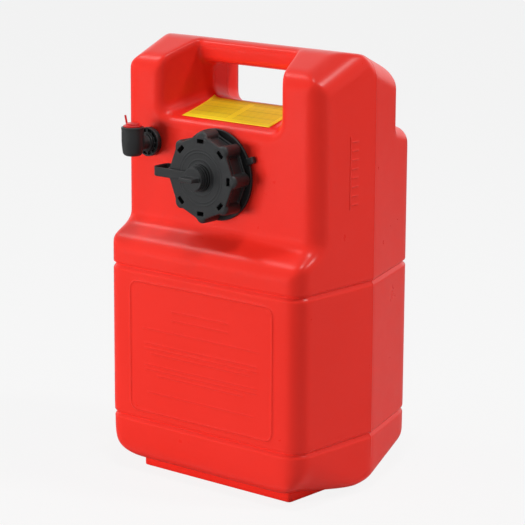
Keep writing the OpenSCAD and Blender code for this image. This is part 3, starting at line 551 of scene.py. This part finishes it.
NUT_R, NUT_LOW, NUT_HIGH, NUT_EDGE, NUT_HOLE_R = 13.3, 1.8, 6.2, 0.5, 7.55
NUT_CUP_R, NUT_CUP_FLOOR, NUT_HUB_R, NUT_HUB_FILLET = 11.8, 3.4, 9, 0.6
RIB_HALF_WIDTH, RIB_REACH, RIB_LOW, RIB_HIGH = 0.55, 12.6, 2, 5.5


def nut_field(u, v, h):
    body = ring(u, v, h, NUT_R, NUT_LOW, NUT_HIGH, NUT_EDGE)
    body = cut(body, rod(u, v, h, NUT_CUP_R, NUT_CUP_FLOOR, PAST_FRONT), NUT_EDGE)
    body = either(body, rod(u, v, h, NUT_HUB_R, NUT_LOW, NUT_HIGH), NUT_HUB_FILLET)
    turn = nearest_turn(u, v, math.pi / 6)
    rib = both(np.abs(np.hypot(u, v) * np.sin(turn)) - RIB_HALF_WIDTH,
               rod(u, v, h, RIB_REACH, RIB_LOW, RIB_HIGH))
    return cut(either(body, rib, NUT_EDGE), rod(u, v, h, NUT_HOLE_R, PAST_REAR, PAST_FRONT))


SPIGOT_R, SPIGOT_END, SPIGOT_TOP, SPIGOT_BORE_R = 4.45, -10.4, 7, 2.2
O_RING_R, O_RING_LOW, O_RING_HIGH = 3.05, -5.8, -4.2
FLANGE_R, FLANGE_LOW, FLANGE_HIGH, ELBOW_NECK_R, ELBOW_NECK_END = 8.5, 6.3, 8.5, 6.4, 22
BARREL_OUT, BARREL_R, BARREL_LOW, BARREL_TOP = 25, 10.15, -10.4, 16
BARREL_TAPER, BARREL_TAPER_TOP, BARREL_TAPER_RUN, BARREL_TAPER_CURVE = 1.5, 4, 14.4, 1.5
BARREL_LOW_R, BARREL_TOP_R, LIP_R, LIP_LOW, LIP_EDGE = 3.5, 0.6, 10.35, 13.9, 0.5
HOSE_BORE_R, HOSE_BORE_FLOOR = 5, -3.2


def elbow_field(u, v, h):
    across = np.hypot(u, h - BARREL_OUT)
    body = rod(u, v, h, SPIGOT_R, SPIGOT_END, SPIGOT_TOP)
    body = either(body, ring(u, v, h, FLANGE_R, FLANGE_LOW, FLANGE_HIGH))
    body = either(body, rod(u, v, h, ELBOW_NECK_R, FLANGE_LOW, ELBOW_NECK_END), FILLET)
    taper = np.clip((BARREL_TAPER_TOP - v) / BARREL_TAPER_RUN, 0, 1) ** BARREL_TAPER_CURVE
    barrel = rolled(across - (BARREL_R - BARREL_TAPER * taper), BARREL_LOW - v, BARREL_LOW_R)
    barrel = rolled(barrel, v - BARREL_TOP, BARREL_TOP_R)
    lip = rolled(across - LIP_R, between(v, LIP_LOW, BARREL_TOP), LIP_EDGE)
    body = either(body, either(barrel, lip, LIP_EDGE), WIDE_FILLET)
    body = cut(body, both(across - HOSE_BORE_R, HOSE_BORE_FLOOR - v))
    body = cut(body, rod(u, v, h, SPIGOT_BORE_R, PAST_REAR, BARREL_OUT))
    return cut(body, both(O_RING_R - np.hypot(u, v), between(h, O_RING_LOW, O_RING_HIGH)))


PLUG_R, PLUG_END, PLUG_TOP = 4.95, 5, 17
PLUG_RIM_R, PLUG_RIM_LOW, PLUG_RIM_HIGH, PLUG_RIM_EDGE = 8.5, 16.1, 17.5, 0.4
PLUG_DOME_R, PLUG_DOME_TOP, PLUG_DOME_EDGE, PLUG_FILLET = 6, 19.5, 0.8, 0.5
TAIL_LEAN, TAIL_U, TAIL_V = math.radians(14), -6.9, 17.1
TAIL_R, TAIL_ROOT, TAIL_LENGTH, TAIL_FILLET = 0.95, -0.3, 9, 0.6


def plug_field(u, v, h):
    across = np.hypot(u, h - BARREL_OUT)
    body = both(across - PLUG_R, between(v, PLUG_END, PLUG_TOP))
    rim = rolled(across - PLUG_RIM_R, between(v, PLUG_RIM_LOW, PLUG_RIM_HIGH), PLUG_RIM_EDGE)
    dome = rolled(across - PLUG_DOME_R, between(v, PLUG_RIM_LOW, PLUG_DOME_TOP), PLUG_DOME_EDGE)
    body = either(either(body, rim), dome, PLUG_FILLET)
    c, s = math.cos(TAIL_LEAN), math.sin(TAIL_LEAN)
    along = (v - TAIL_V) * c - (u - TAIL_U) * s
    aside = (v - TAIL_V) * s + (u - TAIL_U) * c
    tail = both(np.hypot(aside, h - BARREL_OUT) - TAIL_R, between(along, TAIL_ROOT, TAIL_LENGTH))
    return either(body, tail, TAIL_FILLET)


def fitting(node, field, low, high, step, place, body):
    piece = mesh_of(node + "_skin", field, low, high, step, place)
    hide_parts(node)
    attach(piece, body)
    return piece


fittings = [
    fitting("fill_cap", cap_field, (-43, -43, 2), (43, 43, 28), 0.4, at_neck, "cap"),
    fitting("tether_collar", collar_field, (-53, -44.5, -1), (50, 44.5, 9), 0.4, at_neck, "tank"),
    fitting("tether_strap", strap_field, (-59, -13.5, 2), (13.5, 13.5, 28), 0.35, at_neck,
            "tether"),
    fitting("vent_screw", vent_field, (-13, -13, 13), (13, 13, 45), 0.25, at_neck, "vent"),
    fitting("outlet_nut", nut_field, (-14.5, -14.5, 1), (14.5, 14.5, 8), 0.25, at_port, "tank"),
    fitting("outlet_elbow", elbow_field, (-11.5, -12, -12), (11.5, 17.5, 37), 0.3, at_port,
            "elbow"),
]
plug = fitting("transport_plug", plug_field, (-10.5, 4, 15), (9.8, 27, 35), 0.22, at_port,
               "plug")

# The label: its edges along x and down the recess floor, and how it is sampled
LABEL_MARGIN, LABEL_LEFT, LABEL_TOP, LABEL_BOTTOM = 0.5, 2.5, 3, 48.5
LABEL_COLUMNS, LABEL_LINES = 91, 41
LABEL_FACE, LABEL_BACK = 0.5, 0.2  # above the moulding
PROBE_LOW, PROBE_HIGH, PROBE_COUNT = 325, 372, 236


def drape_label():
    """The printed sheet, laid over the recess floor and the foot of its walls."""
    half, fall = HOLE_HALF_WIDTH - LABEL_MARGIN, math.atan(FLOOR_FALL)
    x = np.linspace(LABEL_LEFT - half, half, LABEL_COLUMNS)
    y = -PINCH_Y - np.linspace(LABEL_TOP, LABEL_BOTTOM, LABEL_LINES) * math.cos(fall)
    z = np.linspace(PROBE_LOW, PROBE_HIGH, PROBE_COUNT)
    field = recess_field(x[:, None, None], y[None, :, None], z[None, None, :])
    floor = z[np.argmax(field < 0, axis=2)]
    points = [(a, b, floor[i, j] + up) for up in (LABEL_FACE, LABEL_BACK)
              for i, a in enumerate(x) for j, b in enumerate(y)]
    columns, rows = len(x), len(y)
    count = columns * rows
    faces = []
    for i in range(columns - 1):
        for k in range(i * rows, i * rows + rows - 1):
            face = k, k + 1, k + rows + 1, k + rows
            faces += [face, tuple(count + face[n] for n in (0, 3, 2, 1))]
    edge = [i * rows for i in range(columns)]
    edge += [(columns - 1) * rows + j for j in range(1, rows)]
    edge += [i * rows + rows - 1 for i in range(columns - 2, -1, -1)]
    edge += range(rows - 2, 0, -1)
    faces += [(a, b, b + count, a + count) for a, b in zip(edge, edge[1:] + edge[:1])]
    sheet = add_piece("label_sheet", np.array(points), faces)
    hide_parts("label")
    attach(sheet, "tank")
    return sheet


sheet = drape_label()

# Materials --------------------------------------------------------------------


class Socket:
    """A node's output that takes part in Python expressions."""

    def __init__(self, shader, out):
        self.shader, self.out = shader, out
        self.wide = out.type in {"RGBA", "VECTOR"}

    def maths(self, operation, *others, backwards=False):
        terms = [self, *others]
        if backwards:
            terms.reverse()
        wide = any(isinstance(t, Socket) and t.wide for t in terms)
        kind = "ShaderNodeVectorMath" if wide else "ShaderNodeMath"
        return self.shader.node(kind, {"operation": operation}, dict(enumerate(terms)))

    def __add__(self, other): return self.maths("ADD", other)
    def __radd__(self, other): return self.maths("ADD", other)
    def __sub__(self, other): return self.maths("SUBTRACT", other)
    def __rsub__(self, other): return self.maths("SUBTRACT", other, backwards=True)
    def __mul__(self, other): return self.maths("MULTIPLY", other)
    def __rmul__(self, other): return self.maths("MULTIPLY", other)
    def __pow__(self, other): return self.maths("POWER", other)
    def __mod__(self, other): return self.maths("FLOORED_MODULO", other)
    def __lt__(self, other): return self.maths("LESS_THAN", other)
    def __gt__(self, other): return self.maths("GREATER_THAN", other)


class Shader:
    """The node tree of a material or of the world."""

    def __init__(self, owner):
        owner.use_nodes = True
        self.tree = owner.node_tree

    def node(self, kind, settings=None, values=None, out=0):
        node = self.tree.nodes.new(kind)
        for key, value in (settings or {}).items():
            setattr(node, key, value)
        for key, value in (values or {}).items():
            self.feed(node.inputs[key], value)
        return Socket(self, node.outputs[out])

    def feed(self, entry, value):
        if isinstance(value, Socket):
            self.tree.links.new(value.out, entry)
        elif isinstance(value, tuple) and len(value) == 3 and len(entry.default_value) == 4:
            entry.default_value = (*value, 1)
        else:
            entry.default_value = value

    def blend(self, factor, first, second):
        values = {0: factor, 6: first, 7: second}
        return self.node("ShaderNodeMix", {"data_type": "RGBA"}, values, out=2)

    def rays(self, kind):
        return self.node("ShaderNodeLightPath", out=f"Is {kind} Ray")


class Finish(Shader):
    """One material and its surface."""

    def __init__(self, name):
        self.material = bpy.data.materials.new(name)
        super().__init__(self.material)
        self.surface = self.tree.nodes["Principled BSDF"]

    def set(self, **values):
        for key, value in values.items():
            self.feed(self.surface.inputs[key.replace("_", " ")], value)

    def place(self):
        return self.node("ShaderNodeTexCoord", out="Object")

    def millimetres(self, axes):
        """The object's coordinates in millimetres, for as many axes as are asked for."""
        scale = (1 / MM, 1 / MM, 1 / MM)
        return (self.node("ShaderNodeSeparateXYZ", {}, {0: self.place() * scale}, out=k)
                for k in range(axes))

    def noise(self, scale, detail=3.0, roughness=0.5):
        return self.node("ShaderNodeTexNoise", {}, {
            "Vector": self.place(), "Scale": scale, "Detail": detail, "Roughness": roughness})

    def relief(self, height, depth):
        return self.node("ShaderNodeBump", {}, {
            "Strength": 1.0, "Distance": depth, "Height": height})

    def line(self, value, middle, half):
        """One on a line of the given half width, falling softly to zero beside it."""
        away = (value - middle).maths("ABSOLUTE")
        return self.node("ShaderNodeMapRange", {"interpolation_type": "SMOOTHSTEP"}, {
            0: away, 1: half * 0.3, 2: half * 1.4, 3: 1.0, 4: 0.0})


def srgb(code):
    channels = [int(code[i:i + 2], 16) / 255 for i in (0, 2, 4)]
    return tuple(c / 12.92 if c <= 0.04045 else ((c + 0.055) / 1.055) ** 2.4 for c in channels)


DRIFT_SCALE, DRIFT_SHARE, WEAR_SCALE, WEAR_SWING = 9, 0.7, 55, 0.12


def smooth(name, dark, light, roughness, grain, depth, specular=0.5, metallic=0.0, marks=None):
    """A smooth part: slow colour drift, fine surface grain, uneven gloss, raised marks in mm."""
    finish = Finish(name)
    drift = finish.noise(DRIFT_SCALE, 2)
    speck = finish.noise(grain, 4, 0.6)
    wear = finish.noise(WEAR_SCALE, 4, 0.6)
    mottle = drift * DRIFT_SHARE + speck * (1 - DRIFT_SHARE)
    finish.set(
        Base_Color=finish.blend(mottle, srgb(dark), srgb(light)),
        Roughness=roughness + (wear - 0.5) * WEAR_SWING,
        Specular_IOR_Level=specular,
        Metallic=metallic,
        Normal=finish.relief(speck * (depth / MM) + (marks(finish) if marks else 0.0), MM))
    return finish.material


# Half widths and heights that the tank's marks have in its material
MARK_HALF, FINE_MARK_HALF, SEAM_MARK_HALF = 0.8, 0.6, 0.7
FRAME_MARK, ROW_MARK, SCALE_MARK, SEAM_MARK = 0.45, 0.32, 0.4, 0.35


def tank_marks(finish):
    """The panel frame with ruled rows, the level scale and the mould's parting seam."""
    x, y, z = finish.millimetres(3)
    wide = x.maths("ABSOLUTE") - (PANEL_HALF_WIDTH - PANEL_R)
    tall = (z - PANEL_MIDDLE).maths("ABSOLUTE") - (PANEL_HALF_HEIGHT - PANEL_R)
    corner = (wide.maths("MAXIMUM", 0.0) ** 2.0 + tall.maths("MAXIMUM", 0.0) ** 2.0).maths("SQRT")
    edge = corner + wide.maths("MAXIMUM", tall).maths("MINIMUM", 0.0) - PANEL_R
    marks = finish.line(edge, 0.0, MARK_HALF) * (y < PANEL_Y) * FRAME_MARK
    rows = 0.0
    for level, half in PANEL_ROWS:
        rows = rows + finish.line(z, level, MARK_HALF) * (x.maths("ABSOLUTE") < half)
    marks = marks + rows * (y < PANEL_Y) * ROW_MARK
    upper = (x > SCALE_X) * (z > SCALE_LOW) * (z < SCALE_HIGH)
    ticks = finish.line(z % SCALE_STEP, SCALE_STEP / 2, FINE_MARK_HALF)
    ticks = ticks * (y > TICK_FRONT) * (y < TICK_REAR)
    scale = ticks + finish.line(y, SCALE_LINE_Y, FINE_MARK_HALF)
    marks = marks + scale * upper * SCALE_MARK
    return marks + finish.line(y, 0.0, SEAM_MARK_HALF) * (z > SEAM_LOW) * SEAM_MARK


tank_red = smooth("tank red", "f02c1e", "f8342a", 0.3, 900, 0.000015, 0.22, marks=tank_marks)
fitting_black = smooth("fitting black", "222324", "303132", 0.42, 1800, 0.00006, 0.35)
seal_black = smooth("seal black", "161616", "202020", 0.62, 1200, 0.00003)
plug_red = smooth("plug red", "c81a1c", "de2624", 0.35, 1400, 0.00003)
tube_white = smooth("tube white", "d9d5c6", "e8e5da", 0.45, 700, 0.00003)
bright_steel = smooth("bright steel", "b4b6b9", "cccdd0", 0.3, 2500, 0.00002, metallic=1.0)

# The label's print: two columns, from PRINT_FRONT to PRINT_REAR, with a line each PRINT_STEP
# and a bolder one each TITLE_STEP
COLUMN_MIDDLE, COLUMN_HALF, PRINT_FRONT, PRINT_REAR = 25.5, 22.0, -64.0, -28.0
PRINT_STEP, TITLE_STEP, PRINT_START, PRINT_LINE = 2.3, 11.5, 1.0, 1.15
PRINT_HALF, TITLE_HALF, PRINT_INK, TITLE_INK = 0.42, 0.9, 0.45, 0.4


def label_finish():
    finish = Finish("label sheet")
    fibre = finish.noise(1500, 3)
    x, y = finish.millimetres(2)
    column = (x.maths("ABSOLUTE") - COLUMN_MIDDLE).maths("ABSOLUTE") < COLUMN_HALF

    def printed(step, half):
        line = finish.line((y - PRINT_START) % step, PRINT_LINE, half)
        return line * column * (y > PRINT_FRONT) * (y < PRINT_REAR)

    rows, titles = printed(PRINT_STEP, PRINT_HALF), printed(TITLE_STEP, TITLE_HALF)
    ink = (rows * PRINT_INK).maths("MAXIMUM", titles * TITLE_INK)
    paper = finish.blend(fibre, srgb("ffe318"), srgb("ffec30"))
    finish.set(Base_Color=finish.blend(ink, paper, srgb("6b5f12")), Roughness=0.45 + fibre * 0.1,
               Normal=finish.relief(fibre, 0.00002))
    return finish.material


def woven_screen():
    finish = Finish("woven screen")
    weave = finish.node("ShaderNodeTexBrick", {}, {"Vector": finish.place(), "Scale": 900.0})
    finish.set(Base_Color=finish.blend(finish.noise(400), srgb("b5ae96"), srgb("d6d0ba")),
               Roughness=0.6, Normal=finish.relief(weave, 0.00008))
    return finish.material


def paint(piece, material):
    piece.data.materials.clear()
    piece.data.materials.append(material)


label_paper = label_finish()
paint(tank, tank_red)
paint(plug, plug_red)
paint(sheet, label_paper)
for piece in fittings:
    paint(piece, fitting_black)

FINISHES = {
    fitting_black: ["tether_collar", "tether_strap", "fill_cap", "vent_screw", "outlet_nut",
                    "pickup_housing", "outlet_elbow", "strainer_cage"],
    seal_black: ["cap_gasket", "vent_seal", "outlet_gasket", "elbow_o_ring"],
    bright_steel: ["vent_clip", "check_spring", "check_ball", "check_seat"],
    plug_red: ["transport_plug"],
    tube_white: ["pickup_tube"],
    woven_screen(): ["strainer_mesh"],
    label_paper: ["label"],
    tank_red: ["tank_body"],
}
for material, nodes in FINISHES.items():
    for node in nodes:
        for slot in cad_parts[node].material_slots:
            slot.material = material

# Studio -----------------------------------------------------------------------

FLOOR_HALF, FLOOR_GREY, FLOOR_GLOW, SKY_GREY = 6.0, 0.62, 0.88, 0.06
LAMP_AIM = Vector((0, 0, 0.2))
LAMPS = (  # name, place, width and height, watts, whether gloss shows it
    ("key", (-1.2, -2.1, 0.25), (1.2, 0.5), 44, False),
    ("side", (2.2, 1.05, 0.2), (1.0, 0.35), 16, False),
    ("high left", (-1.65, -0.57, 2.1), (0.45, 0.45), 7, True),
    ("top", (0.4, -0.4, 2.6), (0.35, 0.35), 17, True),
    ("high right", (1.5, 0.6, 2.0), (0.35, 0.35), 18, True),
)


def add_floor():
    """A pale floor that mostly shows as plain white, and still takes the tank's shadow."""
    mesh = bpy.data.meshes.new("floor")
    corners = [(a * FLOOR_HALF, b * FLOOR_HALF, 0) for a, b in ((-1, -1), (1, -1), (1, 1), (-1, 1))]
    mesh.from_pydata(corners, [], [(0, 1, 2, 3)])
    floor = bpy.data.objects.new("floor", mesh)
    bpy.context.scene.collection.objects.link(floor)
    finish = Finish("floor white")
    finish.set(Base_Color=(FLOOR_GREY,) * 3, Roughness=0.9, Specular_IOR_Level=0.0)
    white = finish.node("ShaderNodeEmission", {}, {"Color": (1, 1, 1), "Strength": 1.0})
    lit = Socket(finish, finish.surface.outputs[0])
    mix = finish.node("ShaderNodeMixShader", {}, {
        0: finish.rays("Camera") * FLOOR_GLOW, 1: lit, 2: white})
    finish.feed(finish.tree.nodes["Material Output"].inputs["Surface"], mix)
    paint(floor, finish.material)


def add_lamp(name, spot, size, power, mirrored):
    """A soft lamp aimed at the tank's middle."""
    data = bpy.data.lights.new(name, "AREA")
    data.shape, data.size, data.size_y = "RECTANGLE", size[0], size[1]
    data.energy = power
    lamp = bpy.data.objects.new(name, data)
    lamp.visible_glossy = mirrored
    back = (Vector(spot) - LAMP_AIM).normalized()
    lamp.matrix_world = Matrix.Translation(spot) @ back.to_track_quat("Z", "Y").to_matrix().to_4x4()
    bpy.context.scene.collection.objects.link(lamp)


def add_world():
    """White where it is seen, mirrored or looked through, and dim where it lights."""
    world = bpy.data.worlds.new("studio")
    bpy.context.scene.world = world
    sky = Shader(world)
    seen = sky.rays("Transmission").maths("MAXIMUM", sky.rays("Glossy"))
    seen = sky.rays("Camera").maths("MAXIMUM", seen)
    colour = sky.blend(seen, (SKY_GREY,) * 3, (1, 1, 1))
    sky.feed(sky.tree.nodes["Background"].inputs["Color"], colour)


add_floor()
add_world()
for lamp in LAMPS:
    add_lamp(*lamp)
bpy.context.scene.view_settings.view_transform = "Standard"
